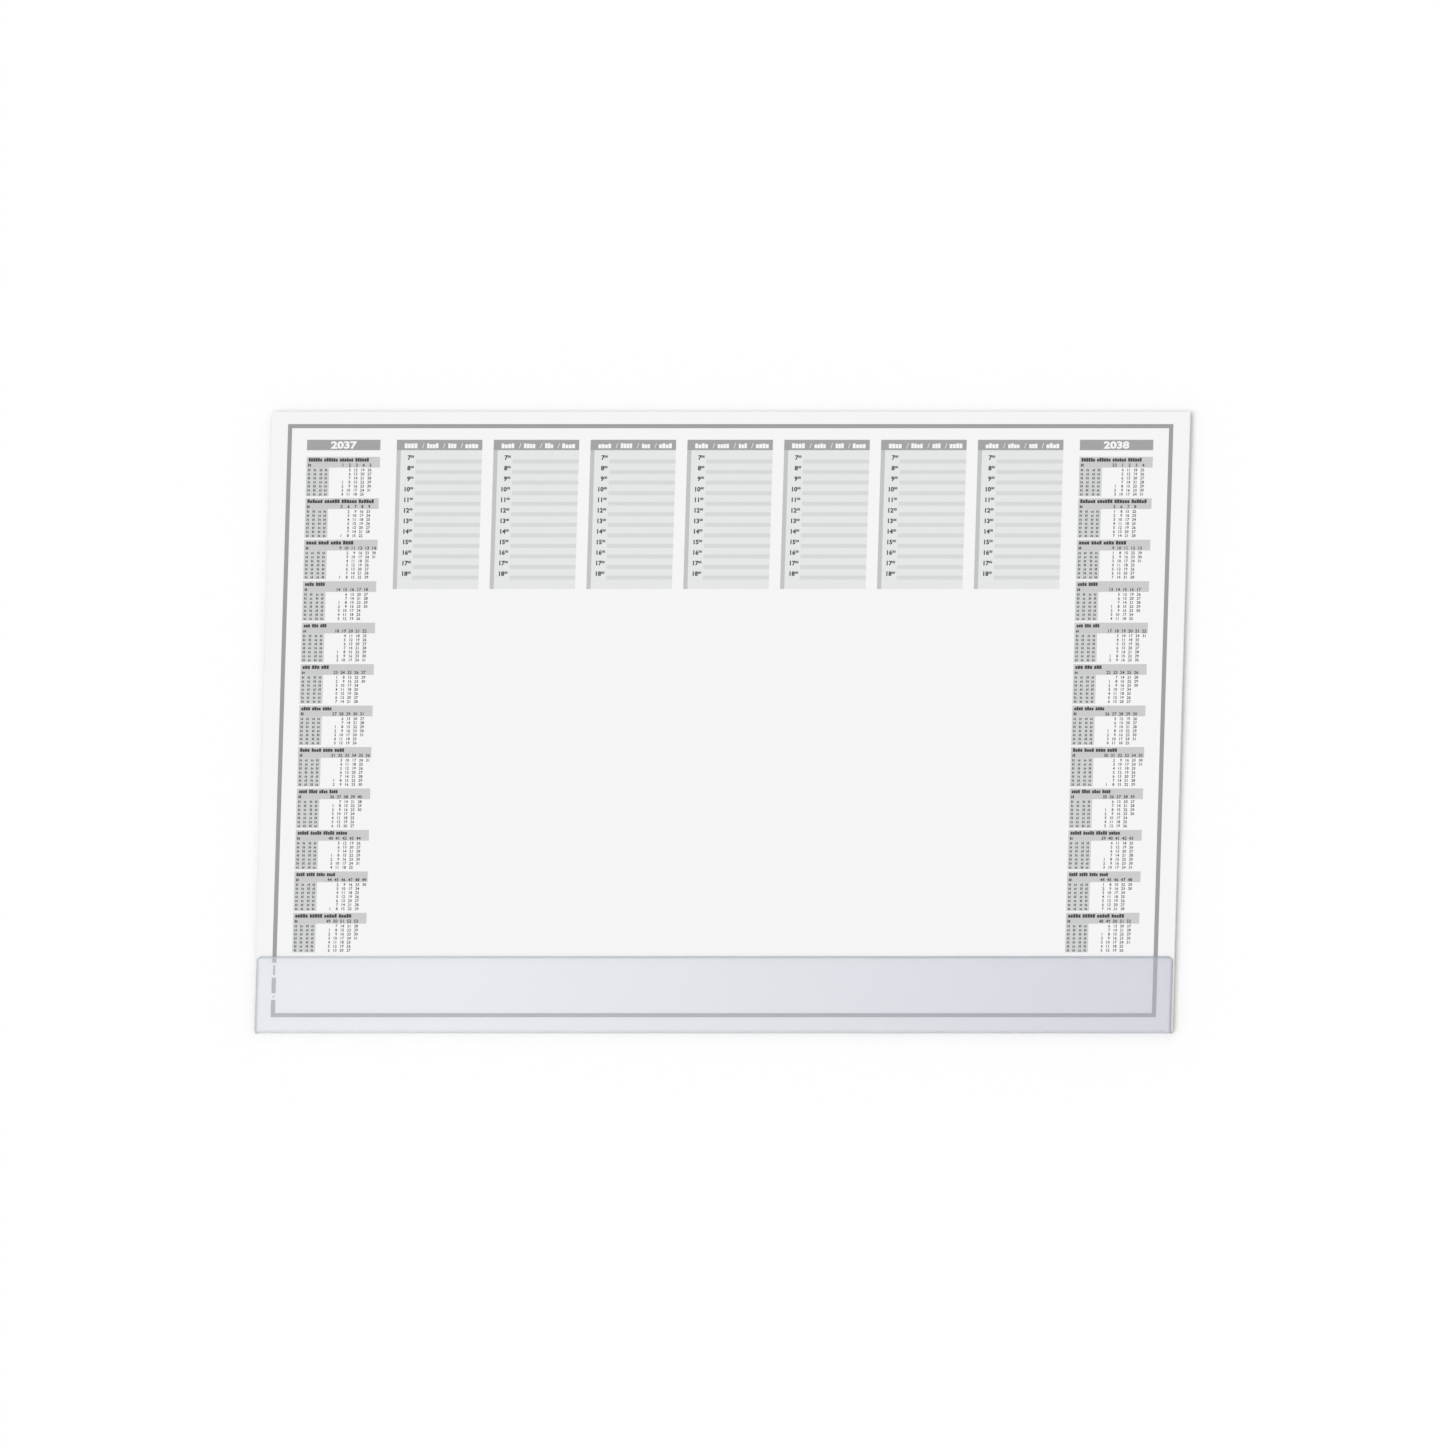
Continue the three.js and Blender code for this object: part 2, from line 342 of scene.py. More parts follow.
def paper_group():
    """Shader group for paper and board: a base colour with clouds and fibres, and their height."""
    name = "Paper fibre"
    if name in bpy.data.node_groups:
        return bpy.data.node_groups[name]
    tree = bpy.data.node_groups.new(name, "ShaderNodeTree")
    inputs = {"Colour": "NodeSocketColor"}
    for kind in NOISE_DETAIL:
        inputs |= {f"{kind} size": "NodeSocketFloat", f"{kind} strength": "NodeSocketFloat"}
    add_sockets(tree, "INPUT", inputs)
    add_sockets(tree, "OUTPUT", {"Colour": "NodeSocketColor", "Height": "NodeSocketFloat"})
    given = tree.nodes.new("NodeGroupInput").outputs
    place = object_place(tree)
    noises = {}
    tones = []
    for kind, detail in NOISE_DETAIL.items():
        scale = math_node(tree, "DIVIDE", 1, given[f"{kind} size"])
        grain = {"Vector": place, "Scale": scale, "Detail": detail, "Roughness": NOISE_ROUGHNESS}
        noises[kind] = add_node(tree, "ShaderNodeTexNoise", grain).outputs["Fac"]
        centred = math_node(tree, "SUBTRACT", noises[kind], 0.5)
        tones.append(math_node(tree, "MULTIPLY", centred, given[f"{kind} strength"]))
    tone = math_node(tree, "ADD", math_node(tree, "ADD", *tones), 1)
    colour = {0: given["Colour"], "Scale": tone}
    shaded = add_node(tree, "ShaderNodeVectorMath", colour, operation="SCALE").outputs[0]
    add_node(tree, "NodeGroupOutput", {"Colour": shaded, "Height": noises["Fibre"]})
    return tree


def new_material(name):
    """A material with its node tree and its Principled shader."""
    material = bpy.data.materials.new(name)
    material.use_nodes = True
    tree = material.node_tree
    return material, tree, tree.nodes["Principled BSDF"]


def paper_material(name, colour, finish=PAPER_FINISH, blend=None):
    """Paper, printed paper or board. blend(tree) may return a colour socket that varies."""
    paper = bpy.context.scene.desk_pad_paper
    material, tree, shader = new_material(name)
    surface = {
        "Colour": blend(tree) if blend else (*colour, 1),
        "Cloud size": paper.cloud_size,
        "Cloud strength": finish.cloud,
        "Fibre size": paper.fibre_size,
        "Fibre strength": finish.fibre,
    }
    fibres = add_node(tree, "ShaderNodeGroup", surface, node_tree=paper_group()).outputs
    relief = {"Strength": finish.relief, "Distance": RELIEF_DEPTH, "Height": fibres["Height"]}
    set_inputs(tree, shader, {
        "Base Color": fibres["Colour"],
        "Normal": add_node(tree, "ShaderNodeBump", relief).outputs["Normal"],
        "Roughness": finish.roughness,
        "Specular IOR Level": PAPER_SHINE,
    })
    return material


def ink_material(name, colour):
    return paper_material(name, colour, INK_FINISH)


def colour_mix(tree, factor, first, second):
    """A mix of two colours by a factor socket."""
    mixed = {"Factor": factor, "A": (*first, 1), "B": (*second, 1)}
    return add_node(tree, "ShaderNodeMix", mixed, data_type="RGBA").outputs["Result"]


def object_axis(tree, axis):
    return split_xyz(tree, object_place(tree))[axis]


def dress(node, material):
    """Gives a CAD node its material and leaves its mesh alone."""
    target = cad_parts[node]
    target.data.materials.clear()
    target.data.materials.append(material)


def link_object(name, mesh):
    piece = bpy.data.objects.new(name, mesh)
    bpy.context.scene.collection.objects.link(piece)
    return piece


def grown(name, tree, values, mesh=None):
    """Runs a geometry tree on a mesh and keeps the result as a plain mesh object."""
    piece = link_object(name, mesh or bpy.data.meshes.new(name))
    modifier = piece.modifiers.new("Growth", "NODES")
    modifier.node_group = tree
    for item in tree.interface.items_tree:
        if item.item_type == "SOCKET" and item.in_out == "INPUT" and item.name in values:
            modifier[item.identifier] = values[item.name]
    depsgraph = bpy.context.evaluated_depsgraph_get()
    result = bpy.data.meshes.new_from_object(
        piece.evaluated_get(depsgraph), preserve_all_data_layers=True, depsgraph=depsgraph
    )
    piece.modifiers.remove(modifier)
    empty_slots = [index for index, material in enumerate(result.materials) if material is None]
    for index in reversed(empty_slots):
        result.materials.pop(index=index)
    piece.data = result
    result.name = name
    return piece


def geometry_tree(name, inputs, output):
    """A geometry tree with its named inputs and one output, and its inputs' sockets inside it."""
    tree = bpy.data.node_groups.new(name, "GeometryNodeTree")
    add_sockets(tree, "INPUT", inputs)
    add_sockets(tree, "OUTPUT", {output: "NodeSocketGeometry"})
    return tree, tree.nodes.new("NodeGroupInput").outputs


def finish_tree(tree, instances, material):
    """Ends a geometry tree: its instances become real and get their material."""
    real = add_node(tree, "GeometryNodeRealizeInstances", {0: instances}).outputs[0]
    dressed = add_node(tree, "GeometryNodeSetMaterial", {"Geometry": real, "Material": material})
    add_node(tree, "NodeGroupOutput", {0: dressed.outputs[0]})


def point_value(tree, name, kind="FLOAT"):
    named = add_node(tree, "GeometryNodeInputNamedAttribute", {"Name": name}, data_type=kind)
    return named.outputs["Attribute"]


def sheet_stack_tree():
    """Geometry tree that lays thin sheets on each other, each but the top one slightly astray."""
    sizes = {"Low": "NodeSocketVector", "High": "NodeSocketVector", "Count": "NodeSocketInt"}
    sizes |= {"Gap": "NodeSocketFloat", "Spread": "NodeSocketFloat"}
    tree, given = geometry_tree("Sheet stack", sizes | {"Paper": "NodeSocketMaterial"}, "Sheets")
    low, high, count, gap, spread = (given[name] for name in sizes)

    across = add_node(tree, "ShaderNodeVectorMath", {0: high, 1: low}, operation="SUBTRACT")
    whole = split_xyz(tree, across.outputs[0])
    halfway = {"Factor": 0.5, "A": low, "B": high}
    centre = add_node(tree, "ShaderNodeMix", halfway, data_type="VECTOR")
    middle = split_xyz(tree, centre.outputs["Result"])

    pitch = math_node(tree, "DIVIDE", whole["Z"], count)
    thickness = math_node(tree, "SUBTRACT", pitch, gap)
    sheet_size = join_xyz(tree, X=whole["X"], Y=whole["Y"], Z=thickness)
    sheet = add_node(tree, "GeometryNodeMeshCube", {"Size": sheet_size}).outputs["Mesh"]

    # Each sheet has its gap below it
    first_height = math_node(tree, "MULTIPLY", math_node(tree, "ADD", pitch, gap), 0.5)
    first_z = math_node(tree, "ADD", split_xyz(tree, low)["Z"], first_height)
    places = {
        "Count": count,
        "Start Location": join_xyz(tree, X=middle["X"], Y=middle["Y"], Z=first_z),
        "Offset": join_xyz(tree, Z=pitch),
    }
    line = add_node(tree, "GeometryNodeMeshLine", places, mode="OFFSET").outputs["Mesh"]
    stack = add_node(tree, "GeometryNodeInstanceOnPoints", {"Points": line, "Instance": sheet})

    # Sheets go astray to the sides and the rear, away from the glue. The top one keeps its
    # place, because the print lies on it.
    index = tree.nodes.new("GeometryNodeInputIndex").outputs[0]
    under_top = math_node(tree, "LESS_THAN", index, math_node(tree, "SUBTRACT", count, 1))
    limits = {
        "Min": join_xyz(tree, X=math_node(tree, "MULTIPLY", spread, -1)),
        "Max": join_xyz(tree, X=spread, Y=spread),
        "Seed": SHEET_SHIFT_SEED,
    }
    shift = add_node(tree, "FunctionNodeRandomValue", limits, data_type="FLOAT_VECTOR")
    moved = add_node(tree, "GeometryNodeTranslateInstances", {
        "Instances": stack.outputs[0],
        "Selection": under_top,
        "Translation": shift.outputs["Value"],
    })
    tone = add_node(tree, "FunctionNodeRandomValue", {"Seed": SHEET_TONE_SEED}, data_type="FLOAT")
    toned = add_node(tree, "GeometryNodeStoreNamedAttribute", {
        "Geometry": moved.outputs[0],
        "Name": "sheet_tone",
        "Value": tone.outputs["Value"],
    }, domain="INSTANCE")
    finish_tree(tree, toned.outputs[0], given["Paper"])
    return tree


class DESKPAD_OT_sheets(bpy.types.Operator):
    """Builds the block of loose-edged sheets, with the printed page on top"""

    bl_idname = "desk_pad.sheets"
    bl_label = "Sheets"

    def execute(self, context):
        paper = context.scene.desk_pad_paper

        def edge_or_face(tree):
            # Below the page's face, each sheet's edge has a tone of its own
            below = math_node(tree, "LESS_THAN", object_axis(tree, "Z"), PAGE_Z - INK)
            tone = add_node(tree, "ShaderNodeAttribute", attribute_name="sheet_tone").outputs["Fac"]
            varied = math_node(tree, "MULTIPLY", tone, 1 - LEAST_EDGE_TONE)
            factor = math_node(tree, "MULTIPLY", below, math_node(tree, "ADD", varied, LEAST_EDGE_TONE))
            return colour_mix(tree, factor, paper.paper, paper.cut_edge)

        values = {
            "Low": SHEETS_LOW,
            "High": SHEETS_HIGH,
            "Count": paper.sheet_count,
            "Gap": paper.sheet_gap,
            "Spread": paper.sheet_spread,
            "Paper": paper_material("printed_sheet_paper", None, blend=edge_or_face),
        }
        sheets = grown("printed_sheets", sheet_stack_tree(), values)
        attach(sheets, BODY)
        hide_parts("sheet_block")
        return {"FINISHED"}


class DESKPAD_OT_board(bpy.types.Operator):
    """Finishes the grey board, the padding glue and the adhesive band"""

    bl_idname = "desk_pad.board"
    bl_label = "Board and glue"

    def execute(self, context):
        paper = context.scene.desk_pad_paper
        dress("back_board", paper_material("board_fibre", paper.board, BOARD_FINISH))
        dress("edge_glue", paper_material("dried_glue", paper.glue, GLUE_FINISH))
        band = paper_material("strip_adhesive_band", paper.adhesive, ADHESIVE_FINISH)
        dress("strip_adhesive", band)
        return {"FINISHED"}


class StripPath:
    """The strip's inner face in the Y-Z plane, walked from its lower end to its free edge."""

    def __init__(self, y, z, heading):
        self.y, self.z, self.heading = y, z, heading
        self.length = 0
        self.stations = []

    def mark(self):
        self.stations.append((self.y, self.z, self.heading, self.length))

    def run(self, distance):
        self.y += distance * math.cos(self.heading)
        self.z += distance * math.sin(self.heading)
        self.length += distance

    def straight(self, distance, steps):
        for _ in range(steps):
            self.run(distance / steps)
            self.mark()

    def bend_to(self, heading, radius, steps):
        turn = (heading - self.heading) / steps
        for _ in range(steps):
            self.heading += turn / 2
            self.run(2 * radius * math.sin(abs(turn) / 2))
            self.heading += turn / 2
            self.mark()


def strip_path(strip):
    """The folded film's stations, its thickness, and the glued edge that it is folded round.

    The sizes are taken from the CAD strip's own box and its neighbours.
    """
    low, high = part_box("protective_strip")
    glue_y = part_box("edge_glue")[0].y
    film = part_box("strip_adhesive")[0].z - strip.clearance
    radius = glue_y - low.y - film
    cad_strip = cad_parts["protective_strip"].data
    lower_end = max(v.co.y for v in cad_strip.vertices if v.co.z < film + radius)
    rise = (high.y - glue_y) * math.tan(strip.lift)
    fold_z = high.z - film * math.cos(strip.lift) - rise

    path = StripPath(lower_end, film, math.pi)
    path.mark()
    path.straight(strip.rim_width, 1)
    path.straight(strip.corner_radius - strip.rim_width, CORNER_STEPS)
    path.straight(lower_end - strip.corner_radius - glue_y, RUN_STEPS)
    path.bend_to(math.pi / 2, radius, BEND_STEPS)
    path.straight(fold_z - radius - path.z, RUN_STEPS)
    path.bend_to(strip.lift, radius, BEND_STEPS)
    flat = (high.y - path.y) / math.cos(strip.lift)
    path.straight(flat - strip.corner_radius, FLAP_STEPS)
    path.straight(strip.corner_radius - strip.rim_width, CORNER_STEPS)
    path.straight(strip.rim_width, 1)
    return path, film, glue_y


def film_faces(row_count, column_count):
    """Faces of a closed film whose vertices come in pairs, inner and outer, column by column."""
    row = 2 * column_count
    faces = []
    for station in range(row_count - 1):
        for column in range(column_count - 1):
            inner = station * row + 2 * column
            corners = (inner, inner + 2, inner + 2 + row, inner + row)
            faces.append(tuple(reversed(corners)))
            faces.append(tuple(corner + 1 for corner in corners))
        left = station * row
        right = left + row - 2
        faces.append((left, left + 1, left + 1 + row, left + row))
        faces.append((right, right + row, right + 1 + row, right + 1))
    last_row = row * (row_count - 1)
    for start in range(0, row - 2, 2):
        faces.append((start, start + 2, start + 3, start + 1))
        end = last_row + start
        faces.append((end, end + 1, end + 3, end + 2))
    return faces


def strip_mesh(strip):
    """The folded film as one closed mesh with rounded free corners, faint ripples and a rim mask for
    the painted shade along its cut edges.
    """
    path, film, glue_y = strip_path(strip)
    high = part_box("protective_strip")[1]
    half = high.x
    inside = half - 2 * strip.rim_width
    even = [(2 * column / FILM_COLUMNS - 1) * inside for column in range(FILM_COLUMNS + 1)]
    columns = [-half, strip.rim_width - half, *even, half - strip.rim_width, half]
    radius = strip.corner_radius
    vertices = []
    rims = []
    for y, z, heading, length in path.stations:
        from_end = min(length, path.length - length)
        short = max(radius - from_end, 0)
        narrowed = (half - radius + math.sqrt(radius**2 - short**2)) / half
        on_upper_flap = heading < math.pi / 4
        free = max(y - glue_y, 0) / (high.y - glue_y) if on_upper_flap else 0
        for column, x in enumerate(columns):
            across = x / half
            wave = sum(math.sin(rate * across + phase) * share for rate, phase, share in FILM_WAVES)
            lifted = z + strip.ripple * free**2 * wave
            # The rim mask marks the cut edges, where the material paints shade
            at_rim = column in (0, len(columns) - 1) or from_end < NO_LENGTH
            for side in (0, film):
                outer_y = y - side * math.sin(heading)
                outer_z = lifted + side * math.cos(heading)
                vertices.append((x * narrowed, outer_y, outer_z))
                rims.append(1.0 if at_rim else 0.0)

    mesh = bpy.data.meshes.new("folded_film")
    mesh.from_pydata(vertices, [], film_faces(len(path.stations), len(columns)))
    mesh.attributes.new("rim", "FLOAT", "POINT").data.foreach_set("value", rims)
    outward = bmesh.new()
    outward.from_mesh(mesh)
    bmesh.ops.recalc_face_normals(outward, faces=outward.faces)
    outward.to_mesh(mesh)
    outward.free()
    mesh.shade_smooth()
    mesh.set_sharp_from_angle(angle=SHARP_ANGLE)
    return mesh


def film_material(strip):
    """Clear film: its colour darkens and its opacity grows towards the right, with a painted shade
    along its cut edges, a darker and denser line for the light that the cut edge refracts away and the
    soft shadow beside it.
    """
    material, tree, shader = new_material("folded_film")
    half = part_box("protective_strip")[1].x
    span = {"Value": object_axis(tree, "X"), "From Min": DARKENING_START * half, "From Max": half}
    across = add_node(tree, "ShaderNodeMapRange", span).outputs["Result"]
    # Painted shade along the cut edges: the rim mask darkens the tint and adds opacity there
    rim = add_node(tree, "ShaderNodeAttribute", attribute_name="rim").outputs["Fac"]
    shadow = math_node(tree, "MULTIPLY", rim, 1 - strip.rim_shade)
    tint = {
        0: colour_mix(tree, across, strip.left_tint, strip.right_tint),
        "Scale": math_node(tree, "SUBTRACT", 1, shadow),
    }

    change = math_node(tree, "MULTIPLY", across, strip.right_density - strip.left_density)
    density = math_node(tree, "ADD", change, strip.left_density)
    edge = math_node(tree, "MULTIPLY", rim, strip.rim_density)

    grain = {"Vector": object_place(tree), "Scale": 1 / SCUFF_SIZE, "Detail": SCUFF_DETAIL}
    scuffs = add_node(tree, "ShaderNodeTexNoise", grain).outputs["Fac"]
    least, most = FILM_ROUGHNESS
    worn = add_node(tree, "ShaderNodeMapRange", {"Value": scuffs, "To Min": least, "To Max": most})
    set_inputs(tree, shader, {
        "Base Color": add_node(tree, "ShaderNodeVectorMath", tint, operation="SCALE").outputs[0],
        "Alpha": math_node(tree, "ADD", density, edge),
        "Roughness": worn.outputs["Result"],
        "IOR": FILM_IOR,
    })
    return material


class DESKPAD_OT_strip(bpy.types.Operator):
    """Builds the clear protective strip, folded round the front edge"""

    bl_idname = "desk_pad.strip"
    bl_label = "Protective strip"

    def execute(self, context):
        strip = context.scene.desk_pad_strip
        film = link_object("clear_strip", strip_mesh(strip))
        film.data.materials.append(film_material(strip))
        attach(film, BODY)
        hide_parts("protective_strip")
        return {"FINISHED"}


class DESKPAD_OT_fields(bpy.types.Operator):
    """Inks the printed fields of the page"""

    bl_idname = "desk_pad.fields"
    bl_label = "Printed fields"

    def execute(self, context):
        ink = context.scene.desk_pad_ink
        dress("border_frame", paper_material("border_print", ink.border))
        heading = paper_material("heading_print", ink.heading)
        for side in SIDES:
            dress(f"year_bar_{side}", heading)

        def rules_over_tint(tree):
            middle = (FIELD_Z + PANEL_Z) / 2
            raised = math_node(tree, "GREATER_THAN", object_axis(tree, "Z"), middle)
            return colour_mix(tree, raised, ink.panel, ink.hour_rule)

        panel = paper_material("day_panel_tint", None, blend=rules_over_tint)
        rule = paper_material("margin_rule_ink", ink.rule)
        for day in DAYS:
            dress(f"day_heading_{day}", heading)
            dress(f"margin_rule_{day}", rule)
            dress(f"day_panel_{day}", panel)

        top, next_top = (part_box(f"month_field_left_{number:02d}")[1].y for number in MONTHS[:2])

        def band_over_field(tree):
            down = math_node(tree, "SUBTRACT", top, object_axis(tree, "Y"))
            in_month = math_node(tree, "FLOORED_MODULO", down, top - next_top)
            in_band = math_node(tree, "LESS_THAN", in_month, MONTH_BAND_HEIGHT)
            return colour_mix(tree, in_band, ink.weekday_field, ink.month_band)

        month = paper_material("month_field_tint", None, blend=band_over_field)
        for side in SIDES:
            for number in MONTHS:
                dress(f"month_field_{side}_{number:02d}", month)
        return {"FINISHED"}


def glyph_tree():
    """Geometry tree that sets a numeral on each point, at the point's own width and height."""
    tree, given = geometry_tree("Numerals on points", {
        "Points": "NodeSocketGeometry",
        "Numerals": "NodeSocketCollection",
        "Layer": "NodeSocketFloat",
        "Ink": "NodeSocketMaterial",
    }, "Figures")
    numerals = add_node(tree, "GeometryNodeCollectionInfo", {
        "Collection": given["Numerals"],
        "Separate Children": True,
        "Reset Children": True,
    })
    width, height = point_value(tree, "width"), point_value(tree, "height")
    placed = add_node(tree, "GeometryNodeInstanceOnPoints", {
        "Points": given["Points"],
        "Instance": numerals.outputs[0],
        "Pick Instance": True,
        "Instance Index": point_value(tree, "glyph", "INT"),
        "Scale": join_xyz(tree, X=width, Y=height, Z=given["Layer"]),
    })
    finish_tree(tree, placed.outputs[0], given["Ink"])
    return tree


def stroke_tree():
    """Geometry tree that sets a plain stroke on each point, with uneven heights."""
    tree, given = geometry_tree("Strokes on points", {
        "Points": "NodeSocketGeometry",
        "Shortest": "NodeSocketFloat",
        "Ink": "NodeSocketMaterial",
    }, "Strokes")
    cube = tree.nodes.new("GeometryNodeMeshCube").outputs["Mesh"]
    from_corner = {"Geometry": cube, "Translation": (0.5, 0.5, 0.5)}
    stroke = add_node(tree, "GeometryNodeTransform", from_corner).outputs[0]
    limits = {"Min": given["Shortest"], "Seed": STROKE_SEED}
    share = add_node(tree, "FunctionNodeRandomValue", limits, data_type="FLOAT").outputs["Value"]
    sizes = {0: point_value(tree, "size", "FLOAT_VECTOR"), 1: join_xyz(tree, X=1, Y=share, Z=1)}
    placed = add_node(tree, "GeometryNodeInstanceOnPoints", {
        "Points": given["Points"],
        "Instance": stroke,
        "Scale": add_node(tree, "ShaderNodeVectorMath", sizes, operation="MULTIPLY").outputs[0],
    })
    finish_tree(tree, placed.outputs[0], given["Ink"])
    return tree


def numeral_set(name, boldness):
    """The ten numerals as closed meshes one unit high and one unit thick, in a collection."""
    numerals = bpy.data.collections.new(name)
    half_thickness = 0.5
    for digit in range(10):
        curve = bpy.data.curves.new("numeral", "FONT")
        curve.body = str(digit)
        curve.size = 1 / CAP_SHARE
        curve.offset = boldness
        curve.extrude = half_thickness
        curve.resolution_u = NUMERAL_RESOLUTION
        drawn = link_object("numeral", curve)
        bpy.context.view_layer.update()
        mesh = bpy.data.meshes.new_from_object(drawn)
        bpy.data.objects.remove(drawn)
        mesh.transform(Matrix.Translation((0, 0, half_thickness)))
        closed = bmesh.new()
        closed.from_mesh(mesh)
        bmesh.ops.remove_doubles(closed, verts=closed.verts, dist=MERGE_DISTANCE)
        bmesh.ops.recalc_face_normals(closed, faces=closed.faces)
        closed.to_mesh(mesh)
        closed.free()
        mesh.materials.clear()
        numerals.objects.link(bpy.data.objects.new(f"{name}_{digit}", mesh))
    return numerals


def point_mesh(name, places):
    mesh = bpy.data.meshes.new(name)
    mesh.from_pydata(places, [], [])
    return mesh


class Figures:
    """Places for numerals: each digit's corner, which numeral it is, how wide and how high."""

    def __init__(self, z):
        self.z = z
        self.places, self.glyphs, self.widths, self.heights = [], [], [], []

    def write(self, text, right, base, height, stretch=1):
        """Writes digits so that the last one ends at right, standing on base."""
        advance = height * stretch * ADVANCE_SHARE
        for place, digit in enumerate(text):
            self.places.append((right - (len(text) - place) * advance, base, self.z))
            self.glyphs.append(int(digit))
            self.widths.append(height * stretch)
            self.heights.append(height)

    def build(self, name, numerals, layer, material, slot):
        mesh = point_mesh(name, self.places)
        mesh.attributes.new("glyph", "INT", "POINT").data.foreach_set("value", self.glyphs)
        mesh.attributes.new("width", "FLOAT", "POINT").data.foreach_set("value", self.widths)
        mesh.attributes.new("height", "FLOAT", "POINT").data.foreach_set("value", self.heights)
        values = {"Numerals": numerals, "Layer": layer, "Ink": material}
        piece = grown(name, glyph_tree(), values, mesh)
        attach(piece, BODY)


class Strokes:
    """Places for plain upright strokes, set one by one or in groups."""

    def __init__(self, z, layer):
        self.z, self.layer = z, layer
        self.places, self.sizes = [], []

    def block(self, left, base, width, height):
        self.places.append((left, base, self.z))
        self.sizes.append((width, height, self.layer))

    def word(self, left, right, base, height, cover):
        """Fills a length with a group of strokes. cover is the share of each step that is inked."""
        count = max(round((right - left) / (height * STROKE_PITCH)), 1)
        step = (right - left) / count
        for stroke in range(count):
            self.block(left + stroke * step, base, step * cover, height)

    def build(self, name, shortest, material, slot):
        mesh = point_mesh(name, self.places)
        sizes = [part for size in self.sizes for part in size]
        mesh.attributes.new("size", "FLOAT_VECTOR", "POINT").data.foreach_set("vector", sizes)
        piece = grown(name, stroke_tree(), {"Shortest": shortest, "Ink": material}, mesh)
        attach(piece, BODY)


def month_fields(side):
    """Number, left edge and rear edge of each month's field on one side of the page."""
    for month in MONTHS:
        low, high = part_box(f"month_field_{side}_{month:02d}")
        yield month, low.x, high.y


class DESKPAD_OT_border_marks(bpy.types.Operator):
    """Prints the gaps in the border's left side under the strip, and their fine marks"""

    bl_idname = "desk_pad.border_marks"
    bl_label = "Border gaps and marks"

    def execute(self, context):
        ink = context.scene.desk_pad_ink
        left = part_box("border_frame")[0].x
        middle = left + (BORDER_WIDTH - BORDER_MARK_WIDTH) / 2
        gaps = Strokes(FIELD_Z, ink.layer)
        marks = Strokes(FIELD_Z + ink.layer, ink.layer)
        for start, stop in BORDER_GAPS:
            base = SHEETS_HIGH.y - stop * MM
            length = (stop - start) * MM
            gaps.block(left, base, BORDER_WIDTH, length)
            marked = length - 2 * BORDER_MARK_MARGIN
            marks.block(middle, base + BORDER_MARK_MARGIN, BORDER_MARK_WIDTH, marked)
        gaps.build("border_gaps", EVEN, ink_material("border_gap_ink", ink.light), "paper")
        marks.build("border_marks", EVEN, ink_material("border_mark_ink", ink.heading), "border_ink")
        return {"FINISHED"}


class DESKPAD_OT_dates(bpy.types.Operator):
    """Prints the dates and week numbers of both calendars"""

    bl_idname = "desk_pad.dates"
    bl_label = "Dates and week numbers"

    def execute(self, context):
        ink = context.scene.desk_pad_ink
        numerals = numeral_set("date_numeral", DATE_BOLDNESS)
        material = ink_material("date_ink", ink.dark)
        height = ink.date_height
        # A number of two figures has its middle on its week's line
        half_number = height * ADVANCE_SHARE
        for side in SIDES:
            dates = Figures(PAGE_Z)
            weeks = Figures(FIELD_Z)
            for month, left, rear in month_fields(side):
                first_weekday, day_count = calendar.monthrange(YEARS[side], month)
                for day in range(1, day_count + 1):
                    column, row = divmod(first_weekday + day - 1, WEEK)
                    right = left + FIRST_WEEK + column * WEEK_PITCH + half_number
                    base = rear - FIRST_ROW - row * ROW_PITCH - height / 2
                    dates.write(str(day), right, base, height)
                    if row == 0 or day == 1:
                        week = datetime.date(YEARS[side], month, day).isocalendar()[1]
                        weeks.write(str(week), right, rear - WEEK_ROW_BASE, WEEK_NUMBER_HEIGHT)
            dates.build(f"dates_{side}", numerals, ink.layer, material, "border_ink")
            weeks.build(f"week_numbers_{side}", numerals, ink.layer, material, "border_ink")
        bpy.data.collections.remove(numerals)
        return {"FINISHED"}


class DESKPAD_OT_month_words(bpy.types.Operator):
    """Prints groups of plain strokes along each month's band and down its weekday field"""

    bl_idname = "desk_pad.month_words"
    bl_label = "Month and weekday strokes"

    def execute(self, context):
        ink = context.scene.desk_pad_ink
        material = ink_material("month_word_ink", ink.dark)
        for side in SIDES:
            titles = Strokes(FIELD_Z, ink.layer)
            weekdays = Strokes(FIELD_Z, ink.layer)
            for month, left, rear in month_fields(side):
                end, groups = TITLES[month - 1]
                length = (end * MM - TITLE_LEFT + TITLE_GAP) / groups
                for group in range(groups):
                    start = left + TITLE_LEFT + group * length
                    stop = start + length - TITLE_GAP
                    titles.word(start, stop, rear - TITLE_BASE, TITLE_HEIGHT, TITLE_COVER)
                start, stop = (left + edge * MM for edge in WEEK_MARK)
                base = rear - WEEK_ROW_BASE
                weekdays.word(start, stop, base, WEEK_NUMBER_HEIGHT, WEEK_MARK_COVER)
                for row in range(WEEK):
                    base = rear - FIRST_ROW - row * ROW_PITCH - ink.date_height / 2
                    for column in WEEKDAY_COLUMNS:
                        middle = left + column * MM
                        start, stop = middle - WEEKDAY_HALF_WIDTH, middle + WEEKDAY_HALF_WIDTH
                        weekdays.word(start, stop, base, WEEKDAY_HEIGHT, WEEKDAY_COVER)
            titles.build(f"month_titles_{side}", MONTH_SHORTEST, material, "border_ink")
            weekdays.build(f"weekday_marks_{side}", MONTH_SHORTEST, material, "border_ink")
        return {"FINISHED"}


